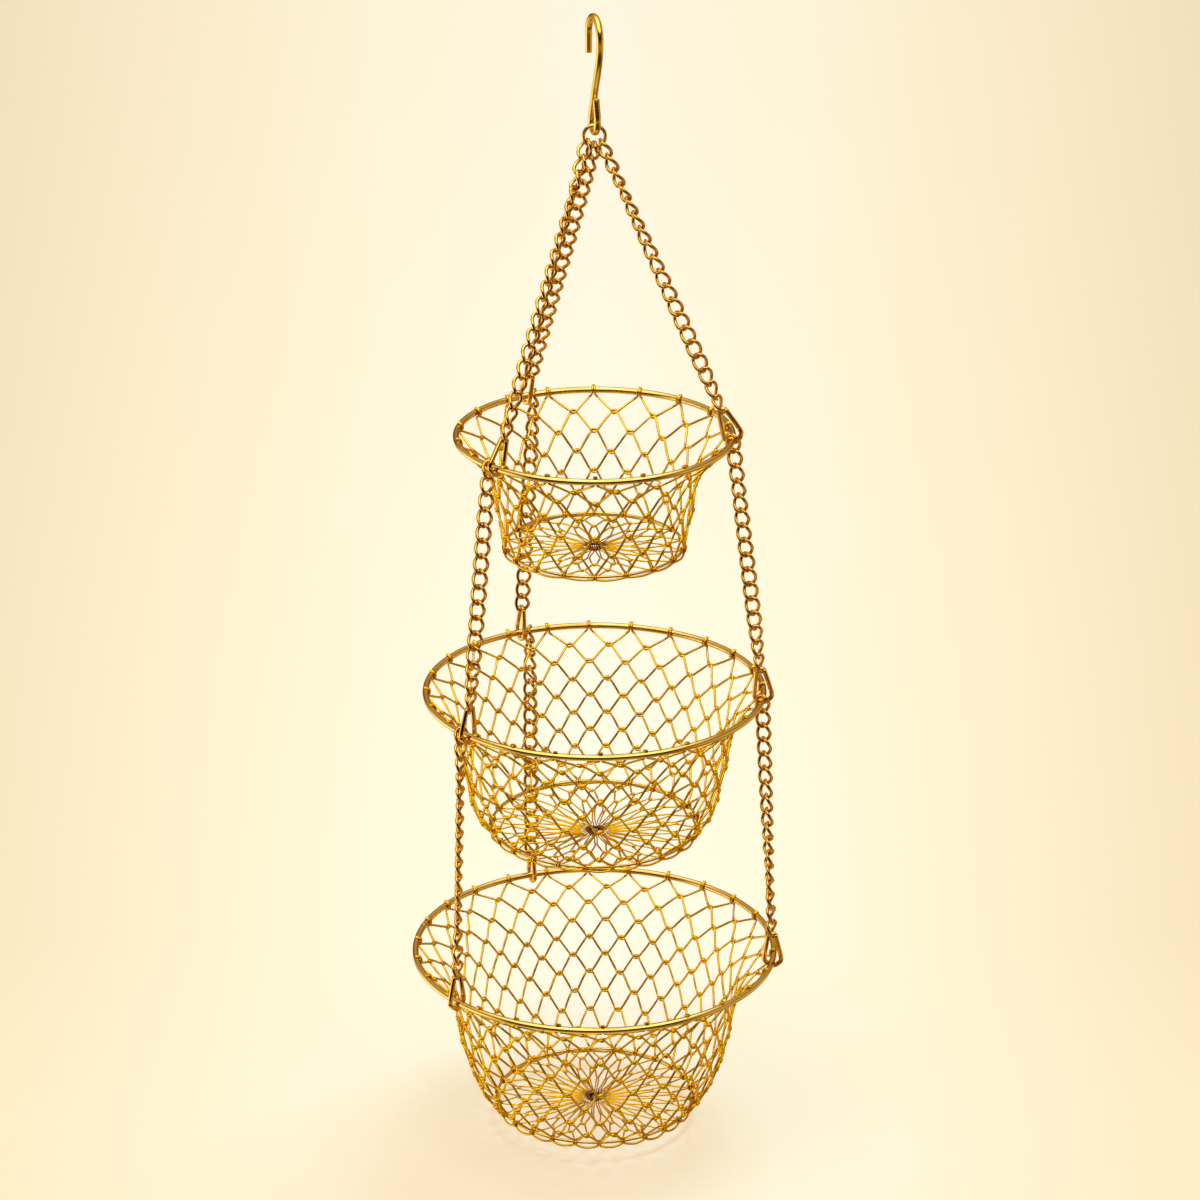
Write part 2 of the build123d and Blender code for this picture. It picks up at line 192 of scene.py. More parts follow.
def hook_path():
    """The hook's wire in its own upright plane: tip, bend, leaning shank, and the eye back to the shank."""
    flat = [(-HOOK_BEND_RADIUS, BEND_CENTRE_Z - HOOK_TIP_LENGTH * k / 3) for k in (3, 2, 1)]
    flat += arc((0, BEND_CENTRE_Z), HOOK_BEND_RADIUS, 180, 0, 16)
    for down, share in SHANK_LEAN:
        flat.append((HOOK_BEND_RADIUS - (HOOK_NECK_OFFSET + HOOK_BEND_RADIUS) * share,
                     BEND_CENTRE_Z - HOOK_SHANK_LENGTH * down))
    flat += [(across, NECK_Z - below) for across, below in EYE_INWARD]
    flat += arc((0, EYE_FOOT_Z + EYE_RADIUS), EYE_RADIUS, *EYE_ARC, 14)
    end = HOOK_WIRE + EYE_CLOSING_GAP - HOOK_NECK_OFFSET
    flat += [(end + across, NECK_Z - below) for across, below in EYE_OUTWARD]
    along = polar(1, HOOK_PLANE_AZIMUTH, 0)
    return spline([along * across + Vector((0, 0, z)) for across, z in flat], 3)


def link_path():
    """One link about the origin, open by a hair at the butt of its wire."""
    points = []
    for i in range(LINK_POINTS):
        turn = radians(LINK_BUTT + (360 - LINK_BUTT_OPENING) * i / (LINK_POINTS - 1))
        across, along = cos(turn), sin(turn)
        x = LINK_HALF * copysign(abs(across) ** LINK_SQUARENESS, across)
        z = LINK_REACH * copysign(abs(along) ** LINK_SQUARENESS, along)
        twist = radians(LINK_TWIST) * z / LINK_REACH
        points.append(Vector((x * cos(twist), x * sin(twist), z)))
    return points


def clip_path():
    """One clip in the XZ plane, its top centreline at the origin and its foot below."""
    crown = arc((0, -CLIP_TOP_RADIUS), CLIP_TOP_RADIUS, 10, 170, 8)
    half = CLIP_WIDTH / 2
    right = [(half * share, -CLIP_LENGTH * down) for share, down in CLIP_SHARES]
    foot = [(side * half * CLIP_FOOT[0], -CLIP_LENGTH * CLIP_FOOT[1]) for side in (-1, 1)]
    flat = crown + [(-x, z) for x, z in reversed(right)] + foot + right
    return spline([Vector((x, 0, z)) for x, z in flat], 3, closed=True)


def circle_path(radius, z, count, start=0.0):
    """A level circle round Z from this azimuth on, with closer points there for a weld."""
    turns = [degrees(place / radius) for place in WELD_PLACES]
    step = (360 - 2 * turns[-1]) / count
    turns += [turns[-1] + step * i for i in range(1, count)]
    return [polar(radius, start + t, z) for t in turns]


def weld_scales(count):
    """Thickness along a circle_path: a butt weld stands up a little, with a notch on either side."""
    return list(WELD_SHARES) + [1.0] * (count - 1)


# One tier's wall, as in the CAD source

class Wall:
    """The profile of one basket from rim to base ring."""

    def __init__(self, radius, depth, base_radius, shares, height):
        self.radius = radius
        self.base_radius = base_radius
        self.height = height
        self.base_height = height - depth
        wall = [(radius, height)] + [(radius * r, height - depth * down) for down, r in shares]
        corners = [Vector(p) for p in wall + [(base_radius, self.base_height)]]
        self.profile = spline(corners, 6)

    def point(self, length):
        """Radius and height at a length down the wall from the rim's centreline."""
        left = length
        for a, b in zip(self.profile, self.profile[1:]):
            run = (b - a).length
            if left <= run or b is self.profile[-1]:
                return a + (b - a) * left / run
            left -= run

    def length(self):
        """The wall's length from the rim's centreline to the base ring's."""
        return sum((b - a).length for a, b in zip(self.profile, self.profile[1:]))


# One wire's half of a knot, as (along the row towards the other wire, down the wall, outward)
KNOT_START = ((-2.5, -0.72, 0.3), (-1.9, -0.62, 0.56), (-1.2, -1.0, 0.76), (-0.3, -1.16, 0.76),
              (0.6, -0.98, 0.62), (1.15, -0.55, 0.35))
KNOT_END = tuple((along, -fall, -outward) for along, fall, outward in KNOT_START[::-1])
KNOT = KNOT_START + ((1.35, 0.0, 0.0),) + KNOT_END


def apex(row, lean, column):
    """The azimuth where a mesh wire turns at this row, and which way its turn points."""
    return (column, 1) if (row + lean) % 2 == 1 else (0.0, -1)


def wrap(radius, z, reach, start, end, azimuth, slips):
    """Part of a turn round a ring's wire, from one angle to another, with 0 outward and 90 upward."""
    steps = max(3, round(abs(end - start) / TURN_STEP))
    points = []
    for i in range(steps + 1):
        turn = radians(start + (end - start) * i / steps)
        slip = slips[0] + (slips[1] - slips[0]) * i / steps
        aside = degrees(slip / radius)
        points.append(polar(radius + reach * cos(turn), azimuth + aside, z + reach * sin(turn)))
    return points


def link_up(runs):
    """Joins the runs of points with straight wire, with three points on each so that the wire can stray."""
    points = list(runs[0])
    for run in runs[1:]:
        start, end = points[-1], run[0]
        points += [start.lerp(end, k / 4) for k in (1, 2, 3)]
        points += run
    return points


def wall_strand(wall, cells, rows, growth, lean):
    """One mesh wire, bent over the rim, hooked into its neighbour at every knot, wound on the base ring."""
    column = 180 / cells
    start = RIM_WIRE / 2 + WRAP_GAP
    end = wall.length() - BASE_WIRE / 2 - WRAP_GAP
    azimuth, side = apex(0, lean, column)
    reach = (DRAWN_RIM + DRAWN_MESH) / 2 + WOUND_GAP
    slips = [slip * side for slip in RIM_SLIP]
    runs = [wrap(wall.radius, wall.height, reach, *RIM_TURN, azimuth, slips)]
    for row in range(1, rows):
        length = start + (end - start) * (row / rows) ** growth
        here = wall.point(length)
        down = (wall.point(length + 2) - wall.point(length - 2)).normalized()
        out = Vector((-down.y, down.x))
        azimuth, side = apex(row, lean, column)
        run = []
        for along, fall, outward in KNOT:
            at = here + down * fall + out * outward * side
            run.append(polar(at.x, azimuth + degrees(side * along / at.x), at.y))
        runs.append(run)
    azimuth, side = apex(rows, lean, column)
    reach = (DRAWN_BASE + DRAWN_MESH) / 2 + WOUND_GAP
    slips = [BASE_SLIP * side] * 2
    runs.append(wrap(wall.base_radius, wall.base_height, reach, *BASE_TURNS[lean], azimuth, slips))
    return link_up(runs)


def loop_under(wall, cells, rows, sag):
    """The slack of the mesh wire between two turns on the base ring, which hangs below it."""
    column = 180 / cells
    first, _ = apex(rows, 0, column)
    reach = (DRAWN_BASE + DRAWN_MESH) / 2
    points = []
    for i in range(LOOP_POINTS):
        share = LOOP_MARGIN + (1 - 2 * LOOP_MARGIN) * i / (LOOP_POINTS - 1)
        bulge = sin(pi * share) ** LOOP_ROUNDNESS
        z = wall.base_height - reach * LOOP_START - sag * bulge
        out = LOOP_OUT + LOOP_BULGE * bulge
        points.append(polar(wall.base_radius + out, first + 2 * column * share, z))
    return points


def floor_strand(wall, drop, cells, rows, lean):
    """One mesh wire of the floor, from the base ring to the hub: knotted first, then bunched.

    Every second one goes on over the hub ring and dives inside it."""
    column = 180 / cells
    outer = wall.base_radius
    inner = HUB_RADIUS + HUB_WIRE / 2
    runs = []
    for row, share in enumerate(FLOOR_SHARES):
        azimuth, side = apex(rows + row, lean, column)
        radius = outer * share
        z = wall.base_height - drop * (outer - radius) / (outer - inner)
        if row == 0:
            reach = (DRAWN_BASE + DRAWN_FLOOR) / 2 + WOUND_GAP
            run = wrap(outer, z, reach, *FLOOR_TURN, azimuth, [FLOOR_SLIP * side] * 2)
        elif row < KNOTTED_RINGS:
            run = []
            for along, fall, outward in KNOT:
                there = radius - fall * FLOOR_KNOT
                aside = degrees(side * along * FLOOR_KNOT / there)
                run.append(polar(there, azimuth + aside, z - outward * side * FLOOR_KNOT_LIFT))
        else:
            run = []
            for further, slip in BUNCH:
                run.append(polar(radius + further, azimuth - degrees(side * slip / radius), z))
        runs.append(run)
    if lean == 0:
        azimuth, side = apex(rows + len(FLOOR_SHARES) - 1, lean, column)
        hub_z = wall.base_height - drop
        reach = (DRAWN_HUB + DRAWN_FLOOR) / 2
        over = wrap(HUB_RADIUS, hub_z, reach, *HUB_TURN, azimuth, (0.0, 0.0))
        runs.append(over + [polar(HUB_RADIUS - reach, azimuth, hub_z - HUB_DIVE)])
    return link_up(runs)


# Meshes

ROUNDED_END = ((0.97, 0.12), (0.88, 0.24), (0.76, 0.3))     # radius and reach, of the wire's radius


def wire_mesh(name, points, diameter, sides, closed=False, rounded=False, scales=None):
    """A smooth round wire along the points, with flat ends or ends with a rounded edge."""
    count = len(points)
    radius = diameter / 2
    runs = []
    for i in range(count):
        before = points[i - 1] if closed or i else points[0]
        after = points[(i + 1) % count] if closed or i < count - 1 else points[-1]
        runs.append((after - before).normalized())
    normal = runs[0].orthogonal().normalized()
    normals = [normal]
    for before, after in zip(runs, runs[1:]):
        normal = before.rotation_difference(after) @ normal
        normals.append((normal - after * normal.dot(after)).normalized())
    twist = 0.0
    if closed:
        last = runs[-1].rotation_difference(runs[0]) @ normals[-1]
        twist = -atan2(normals[0].cross(last).dot(runs[0]), normals[0].dot(last)) / count
    rings = []
    for i in range(count):
        side = runs[i].cross(normals[i])
        ring = []
        for s in range(sides):
            turn = 2 * pi * s / sides + twist * i
            reach = radius * (scales[i] if scales else 1.0)
            ring.append(points[i] + (normals[i] * cos(turn) + side * sin(turn)) * reach)
        rings.append(ring)
    if rounded:
        for end, sign in ((0, -1), (-1, 1)):
            middle, run, ring = points[end], runs[end] * sign, rings[end]
            dome = []
            for scale, reach in ROUNDED_END:
                dome.append([middle + (p - middle) * scale + run * reach * radius for p in ring])
            rings = dome[::-1] + rings if end == 0 else rings + dome
    verts = [p * MM for ring in rings for p in ring]
    total = len(rings)
    faces = []
    for i in range(total if closed else total - 1):
        a, b = i * sides, (i + 1) % total * sides
        for s in range(sides):
            t = (s + 1) % sides
            faces.append((a + s, a + t, b + t, b + s))
    smooth = len(faces)
    if not closed:
        faces.append(tuple(range(sides - 1, -1, -1)))
        faces.append(tuple((total - 1) * sides + s for s in range(sides)))
    mesh = bpy.data.meshes.new(name)
    mesh.from_pydata([tuple(v) for v in verts], [], faces)
    for i, face in enumerate(mesh.polygons):
        face.use_smooth = i < smooth
    mesh.update()
    return mesh


def line_mesh(name, lines):
    """The lines as edges only, for Geometry Nodes to turn into wire."""
    verts, edges = [], []
    for line in lines:
        first = len(verts)
        verts += [tuple(p * MM) for p in line]
        edges += [(first + i, first + i + 1) for i in range(len(line) - 1)]
    mesh = bpy.data.meshes.new(name)
    mesh.from_pydata(verts, edges, [])
    mesh.update()
    return mesh


# Nodes

def linear(code):
    """The linear colour of an sRGB hex code."""
    parts = [int(code[i:i + 2], 16) / 255 for i in (1, 3, 5)]
    return tuple(p / 12.92 if p <= 0.04045 else ((p + 0.055) / 1.055) ** 2.4 for p in parts) + (1.0,)


def add_node(tree, kind, settings=None, inputs=(), stops=(), **named):
    """Adds a node with its settings, its inputs in order and by name, and a ramp's (place, colour) stops.

    An input is a value, a socket, or a node that gives its first usable output."""
    made = tree.nodes.new(kind)
    for key, value in (settings or {}).items():
        setattr(made, key, value)
    usable = [socket for socket in made.inputs if socket.enabled]
    pairs = list(zip(usable, inputs))
    for key, value in named.items():
        pairs.append((next(s for s in usable if s.name.replace(" ", "_").lower() == key), value))
    for socket, value in pairs:
        if isinstance(value, bpy.types.Node):
            value = next(output for output in value.outputs if output.enabled)
        if isinstance(value, bpy.types.NodeSocket):
            tree.links.new(value, socket)
        else:
            socket.default_value = value
    if stops:
        elements = made.color_ramp.elements
        for element, (place, code) in zip(elements, (stops[0], stops[-1])):
            element.position = place
            element.color = linear(code)
        for place, code in stops[1:-1]:
            elements.new(place).color = linear(code)
    return made


REPEAT_INPUTS = (
    ("Count", "Int"), ("Offset", "Vector"), ("Start Angle", "Float"), ("Step Angle", "Float"),
    ("Loose Roll", "Float"), ("First", "Float"), ("Last", "Float"), ("Middle Turn", "Float"),
    ("Stray", "Float"), ("Diameter", "Float"), ("Middle Scale", "Float"), ("Sides", "Int"),
    ("Material", "Material"),
)


def make_repeat_tree():
    """Repeats a wire line step by step, turned and shifted, and gives it thickness."""
    tree = bpy.data.node_groups.new("repeated_wire", "GeometryNodeTree")
    face = tree.interface
    face.new_socket("Geometry", in_out="INPUT", socket_type="NodeSocketGeometry")
    for name, kind in REPEAT_INPUTS:
        face.new_socket(name, in_out="INPUT", socket_type=f"NodeSocket{kind}")
    face.new_socket("Geometry", in_out="OUTPUT", socket_type="NodeSocketGeometry")
    given = tree.nodes.new("NodeGroupInput").outputs
    lines = add_node(tree, "GeometryNodeMeshToCurve", mesh=given["Geometry"])
    places = add_node(tree, "GeometryNodeMeshLine", count=given["Count"], offset=given["Offset"])

    # Each copy's angle: an even step, a little by chance, and a chain's twist between its ends
    index = add_node(tree, "GeometryNodeInputIndex")
    back = add_node(tree, "ShaderNodeMath", {"operation": "MULTIPLY"}, (given["Loose Roll"], -1.0))
    loose = add_node(tree, "FunctionNodeRandomValue", {"data_type": "FLOAT"}, min=back,
                     max=given["Loose Roll"], seed=7)
    turned = add_node(tree, "ShaderNodeMath", {"operation": "MULTIPLY_ADD"},
                      (index, given["Step Angle"], given["Start Angle"]))
    rolled = add_node(tree, "ShaderNodeMath", {"operation": "ADD"}, (turned, loose))
    number = add_node(tree, "ShaderNodeMath", {"operation": "ADD"}, (index, given["First"]))
    left = add_node(tree, "ShaderNodeMath", {"operation": "SUBTRACT"}, (given["Last"], number))
    from_end = add_node(tree, "ShaderNodeMath", {"operation": "MINIMUM"}, (number, left))
    eased = add_node(tree, "ShaderNodeMapRange", {"interpolation_type": "SMOOTHSTEP"}, value=from_end,
                     from_min=0.0, from_max=TWIST_EASE, to_min=0.0, to_max=given["Middle Turn"])
    twisted = add_node(tree, "ShaderNodeMath", {"operation": "ADD"}, (rolled, eased))
    angle = add_node(tree, "ShaderNodeCombineXYZ", z=twisted)
    copies = add_node(tree, "GeometryNodeInstanceOnPoints", points=places, instance=lines, rotation=angle)
    real = add_node(tree, "GeometryNodeRealizeInstances", geometry=copies)

    # Handmade mesh is never quite even
    noise = add_node(tree, "ShaderNodeTexNoise", {"noise_dimensions": "3D"}, scale=STRAY_SCALE, detail=1.0)
    middle = add_node(tree, "ShaderNodeVectorMath", {"operation": "SUBTRACT"},
                      (noise.outputs["Color"], (0.5, 0.5, 0.5)))
    off = add_node(tree, "ShaderNodeVectorMath", {"operation": "SCALE"}, (middle, given["Stray"]))
    strayed = add_node(tree, "GeometryNodeSetPosition", geometry=real, offset=off)

    # A round wire, thinner towards the middle of a floor
    radius = add_node(tree, "ShaderNodeMath", {"operation": "MULTIPLY"}, (given["Diameter"], 0.5))
    section = add_node(tree, "GeometryNodeCurvePrimitiveCircle", resolution=given["Sides"], radius=radius)
    from_middle = from_axis(tree, add_node(tree, "GeometryNodeInputPosition"))
    scale = add_node(tree, "ShaderNodeMapRange", value=from_middle, from_min=THINNING_RADII[0] * MM,
                     from_max=THINNING_RADII[1] * MM, to_min=given["Middle Scale"], to_max=1.0)
    wires = add_node(tree, "GeometryNodeCurveToMesh", curve=strayed, profile_curve=section, scale=scale,
                     fill_caps=True)
    coat = add_node(tree, "GeometryNodeSetMaterial", geometry=wires, material=given["Material"])
    add_node(tree, "NodeGroupOutput", inputs=(coat,))
    return tree


def from_axis(tree, place):
    """The distance of a place from the upright axis through the baskets."""
    level = add_node(tree, "ShaderNodeVectorMath", {"operation": "MULTIPLY"}, (place, (1.0, 1.0, 0.0)))
    return add_node(tree, "ShaderNodeVectorMath", {"operation": "LENGTH"}, (level,))


def evaluate(obj):
    """The object's final mesh, with its modifiers taken in."""
    bpy.context.view_layer.update()
    graph = bpy.context.evaluated_depsgraph_get()
    mesh = bpy.data.meshes.new_from_object(obj.evaluated_get(graph))
    obj.modifiers.clear()
    return mesh


def repeated(name, lines, tree, values, matrix=None):
    """A piece made by the repeat tree from these lines."""
    obj = bpy.data.objects.new(name, line_mesh(name, lines))
    bpy.context.scene.collection.objects.link(obj)
    modifier = obj.modifiers.new("repeat", "NODES")
    modifier.node_group = tree
    sockets = {s.name: s.identifier for s in tree.interface.items_tree if s.in_out == "INPUT"}
    for key, value in values.items():
        modifier[sockets[key]] = value
    mesh = evaluate(obj)
    if matrix:
        mesh.transform(matrix)
    for face in mesh.polygons:
        face.use_smooth = len(face.vertices) == 4
    obj.data = mesh
    mesh.name = name
    return obj


# Materials

EDGE_TINT = "#F2C668"       # what brass sends back at a glancing angle
HUB_PAINTED_SHADE = "#84500A"         # painted shade: the dark brown that stands for the shade where the wires crowd at the hubs


def brass(name, low, high, roughness, patch, lacquer, shade_radii=None):
    """Brass-plated steel wire, whose tone drifts between two colours over patches of this size in mm.

    With two radii in mm, it takes the dark hub colour inside the first, blending back to its own tone by
    the second: painted shade where the wires crowd at the hub."""
    material = bpy.data.materials.new(name)
    material.use_nodes = True
    tree = material.node_tree
    shader = tree.nodes["Principled BSDF"]
    shader.inputs["Metallic"].default_value = 1.0
    shader.inputs["Roughness"].default_value = roughness
    shader.inputs["Specular Tint"].default_value = linear(EDGE_TINT)
    shader.inputs["Coat Weight"].default_value = lacquer
    shader.inputs["Coat Roughness"].default_value = 0.05
    place = add_node(tree, "ShaderNodeTexCoord").outputs["Object"]
    noise = add_node(tree, "ShaderNodeTexNoise", {"noise_dimensions": "3D"}, vector=place,
                     scale=1 / (patch * MM), detail=3.0)
    tone = add_node(tree, "ShaderNodeValToRGB", inputs=(noise,), stops=((0.38, low), (0.62, high)))
    colour = tone.outputs["Color"]
    # painted shade: the brass turns dark brown towards the hub
    if shade_radii:
        share = add_node(tree, "ShaderNodeMapRange", value=from_axis(tree, place), from_min=shade_radii[0] * MM,
                         from_max=shade_radii[1] * MM)
        mix = add_node(tree, "ShaderNodeMix", {"data_type": "RGBA"}, (share, linear(HUB_PAINTED_SHADE), colour))
        colour = next(output for output in mix.outputs if output.enabled)
    tree.links.new(colour, shader.inputs["Base Color"])
    return material


# The hook is rubbed by what it hangs on, so its plating is satin with less lacquer left
hook_brass = brass("brass_plated_hook_wire", "#DCB03A", "#E6BC48", 0.24, 40, 0.6)
# Tumbled and lacquered links: deep gold with sharp highlights
chain_brass = brass("brass_plated_chain_wire", "#D49E1C", "#DEAA26", 0.12, 60, 1.0)
# Bent from drawn wire and lacquered: a little softer in its shine than the links
clip_brass = brass("brass_plated_clip_wire", "#D8A628", "#E2B234", 0.14, 40, 1.0)
# Polished, plated and lacquered: the lightest and most mirror-like wire of all
rim_brass = brass("brass_plated_rim_wire", "#DEB850", "#E8C45E", 0.08, 80, 1.0)
# Painted shade: the hubs are given a dark brown so that they read as dark spots, standing for the shade of
# the crowded wires there
hub_painted_shade_brass = brass("tarnished_brass_hub_wire", "#7A4808", HUB_PAINTED_SHADE, 0.3, 80, 0.0)
# Thin plating without lacquer: a strong yellow with soft highlights, with painted shade, a dark brown,
# towards the hub
mesh_brass = brass("brass_plated_mesh_wire", "#E8B622", "#F0C22E", 0.24, 50, 0.0, (6.0, 14.0))


# Pieces

def finish_piece(obj, node, body, material=None):
    """The piece stands for its CAD node, rides on its body and takes its finish from a slot."""
    if material:
        obj.data.materials.clear()
        obj.data.materials.append(material)
    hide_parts(node)
    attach(obj, body)
    obj.visible_diffuse = False     # the floor keeps its even light under the mesh
    return obj


def wire_piece(node, points, diameter, sides, body, material, closed=False, rounded=False,
               matrix=None, scales=None):
    """A single-wire piece."""
    mesh = wire_mesh(node, points, diameter, sides, closed, rounded, scales)
    if matrix:
        mesh.transform(matrix)
    obj = bpy.data.objects.new(node + "_look", mesh)
    bpy.context.scene.collection.objects.link(obj)
    return finish_piece(obj, node, body, material)


def placing(origin, x_axis, z_axis):
    """The matrix in metres of a place given in mm."""
    y_axis = z_axis.cross(x_axis)
    matrix = Matrix((x_axis, y_axis, z_axis)).transposed().to_4x4()
    matrix.translation = origin * MM
    return matrix


def ring_point(angle):
    """A point on the hanging ring's centreline, by the angle from its foot towards +X."""
    return Vector((RING_RADIUS * sin(radians(angle)), 0, RING_CENTRE_Z - RING_RADIUS * cos(radians(angle))))


def ring_run(angle):
    """The direction of the hanging ring's wire there."""
    return Vector((cos(radians(angle)), 0, sin(radians(angle))))


def hang(start, end, held_wire, gap, count, crossed=None):
    """Where a chain's first link and its clip lie, which way they face, and the first link's roll."""
    down = (end - start).normalized()
    middle = (start + end) * 0.5
    outward = Vector((middle.x, middle.y, 0))
    outward = (outward - down * outward.dot(down)).normalized()
    roll = 0.0
    if crossed:
        square = down.cross(crossed)
        roll = degrees(atan2(square.dot(outward.cross(down)), square.dot(outward))) - LINK_TWIST
        roll -= 180 * round((roll - LAST_ROLL) / 180)
    first = start + down * (LINK_REACH - held_wire / 2 - gap - LINK_WIRE / 2)
    top = first + down * (LINK_PITCH * (count - 1) + LINK_REACH - LINK_WIRE / 2 - LINK_GAP - CLIP_WIRE / 2)
    return first, top, down, outward, roll


def rim_height(start, radius, azimuth, held_wire, gap, count):
    """The height of the rim that a chain from this start carries at this azimuth."""
    links = 2 * LINK_REACH - LINK_WIRE - LINK_GAP - gap + LINK_PITCH * (count - 1)
    clip = CLIP_LENGTH - CLIP_WIRE / 2 - SEAT_GAP - RIM_WIRE / 2
    length = links - held_wire / 2 - CLIP_WIRE / 2 + clip
    across = polar(radius, azimuth, start.z) - start
    return start.z - sqrt(length ** 2 - across.length ** 2)


def make_chain(node, body, tree, hung, count, first_index, number, turn):
    """Part of a chain: this number of links from this one on."""
    first, _, down, outward, roll = hung
    midway, end = turn
    step = (LAST_ROLL + end - roll) / (count - 1)
    origin = first + down * (LINK_PITCH * first_index)
    values = {"Count": number, "Offset": (0.0, 0.0, -LINK_PITCH * MM),
              "Start Angle": radians(roll + step * first_index), "Step Angle": radians(step),
              "Loose Roll": radians(LOOSE_ROLL) if number > 1 else 0.0,
              "First": float(first_index), "Last": count - 1.0, "Middle Turn": radians(midway),
              "Stray": 0.0, "Diameter": DRAWN_LINK * MM, "Middle Scale": 1.0, "Sides": 8,
              "Material": chain_brass}
    obj = repeated(node + "_look", [link_path()], tree, values, placing(origin, outward, -down))
    return finish_piece(obj, node, body)


def make_basket(tier, height, gap_azimuth, tree):
    """One basket's five pieces."""
    name, radius, depth, base_radius, drop, cells, rows, growth, shares = tier[:9]
    body = f"{name}_basket"
    wall = Wall(radius, depth, base_radius, shares, height)
    rim = circle_path(radius, height, RIM_STEPS, WELD_AZIMUTH[name])
    wire_piece(f"{name}_rim", rim, DRAWN_RIM, 16, body, rim_brass, closed=True,
               scales=weld_scales(RIM_STEPS))
    base = circle_path(base_radius, wall.base_height, BASE_STEPS, WELD_AZIMUTH[name])
    wire_piece(f"{name}_base_ring", base, DRAWN_BASE, 12, body, rim_brass, closed=True,
               scales=weld_scales(BASE_STEPS))
    hub_z = wall.base_height - drop
    hub = [polar(HUB_RADIUS, 360 * i / HUB_STEPS, hub_z) for i in range(HUB_STEPS)]
    wire_piece(f"{name}_hub", hub, DRAWN_HUB, 12, body, hub_painted_shade_brass, closed=True)
    column = 180 / cells
    turn = Matrix.Rotation(radians(column), 3, "Z")
    walls = [wall_strand(wall, cells, rows, growth, 0)]
    walls.append([turn @ p for p in wall_strand(wall, cells, rows, growth, 1)])
    walls.append(loop_under(wall, cells, rows, LOOP_SAG[name]))
    floors = [floor_strand(wall, drop, cells, rows, 0)]
    floors.append([turn @ p for p in floor_strand(wall, drop, cells, rows, 1)])
    for part, strands, drawn, thinned in (("wall", walls, DRAWN_MESH, 1.0),
                                          ("floor", floors, DRAWN_FLOOR, HUB_THINNING)):
        values = {"Count": cells, "Offset": (0.0, 0.0, 0.0), "Start Angle": radians(gap_azimuth + column),
                  "Step Angle": radians(2 * column), "Loose Roll": 0.0, "First": 0.0, "Last": 0.0,
                  "Middle Turn": 0.0, "Stray": MESH_STRAY * MM, "Diameter": drawn * MM,
                  "Middle Scale": thinned, "Sides": 6, "Material": mesh_brass}
        obj = repeated(f"{name}_{part}_wires_look", strands, tree, values)
        finish_piece(obj, f"{name}_{part}_wires", body)


def make_hanger(name, side, hung, count, turn, tree):
    """One chain, whose first and last links may move by themselves, and its clip."""
    _, top, down, outward, _ = hung
    if name == "top":
        clip_body = "top_basket"
        make_chain(f"upper_chain_{side}", clip_body, tree, hung, count, 0, count, turn)
    else:
        alone = side == "right"
        first_link = f"{name}_first_link_{side}"
        chain = f"{name}_chain_{side}"
        last_link = f"{name}_end_link_{side}"
        clip_body = f"{name}_clip_{side}" if alone else chain
        make_chain(first_link, first_link, tree, hung, count, 0, 1, turn)
        make_chain(chain, chain, tree, hung, count, 1, count - 2 if alone else count - 1, turn)
        if alone:
            make_chain(last_link, last_link, tree, hung, count, count - 1, 1, turn)
    wire_piece(f"{name}_clip_{side}", clip_path(), CLIP_WIRE, 12, clip_body, clip_brass,
               closed=True, matrix=placing(top, outward, -down))


def build():
    """All pieces, worked out from the hook down as in the CAD source."""
    tree = make_repeat_tree()
    wire_piece("hook", hook_path(), HOOK_WIRE, 20, "hook", hook_brass, rounded=True)
    ring = [ring_point(360 * i / RING_STEPS) for i in range(RING_STEPS)]
    wire_piece("hanging_ring", ring, RING_WIRE, 12, "hanging_ring", rim_brass, closed=True)
    ring_angles = dict(zip(SIDES, (RING_SPREAD, 0, -RING_SPREAD)))
    starts = {side: ring_point(angle) for side, angle in ring_angles.items()}
    held, gap, right_azimuth = RING_WIRE, RING_GAP, None
    for tier in TIERS:
        name, radius, cells, count = tier[0], tier[1], tier[5], tier[10]
        clips = dict(zip(SIDES, tier[9]))
        if clips["right"] is None:
            clips["right"] = right_azimuth
        height = rim_height(starts["right"], radius, clips["right"], held, gap, count)

        # The mesh is turned so that clips and links sit between its turns on the rim
        cell = 360 / cells
        offset = degrees(FIRST_LINK_OFFSET / radius)
        places = [azimuth - (0 if name == "bottom" else offset / 2) for azimuth in clips.values()]
        offs = [(place - places[0] + cell / 2) % cell - cell / 2 for place in places]
        gap_azimuth = places[0] + (max(offs) + min(offs)) / 2
        make_basket(tier, height, gap_azimuth, tree)
        for side, azimuth in clips.items():
            end = polar(radius, azimuth, height)
            crossed = ring_run(ring_angles[side]) if name == "top" else None
            hung = hang(starts[side], end, held, gap, count, crossed)
            make_hanger(name, side, hung, count, CHAIN_TURN[name][side], tree)
            starts[side] = polar(radius, azimuth - offset, height)
        right_azimuth = clips["right"] - offset
        held, gap = RIM_WIRE, RIM_LINK_GAP


build()


# Floor, lights and camera

FLOOR_Z = -858.0
FLOOR_REACH = 12.0              # metres
PICTURE_EDGE = ((-0.14, 0.45), (3.64, 0.96))    # metres: Y, and how far aside the picture ends there
PAINT_BLEND = (0.0, 0.3)        # metres in Y, from the near paint to the far one
STUDIO_STRENGTH = 2.0

# The floor's cream with painted light falloff, lighter in the middle and darker and warmer towards the
# picture's edge: from the middle (0) to the picture's edge (1), far off and close by, where it is a little
# darker in the middle
FAR_PAINT_AND_FALLOFF = ((0.0, "#FFFAE8"), (0.35, "#FFF7DE"), (0.7, "#FCEED0"), (1.0, "#F5E5C5"))
NEAR_PAINT_AND_FALLOFF = ((0.0, "#FCF2DB"), (0.5, "#FCF3DA"), (0.8, "#FBEED0"), (1.0, "#FBEBCA"))

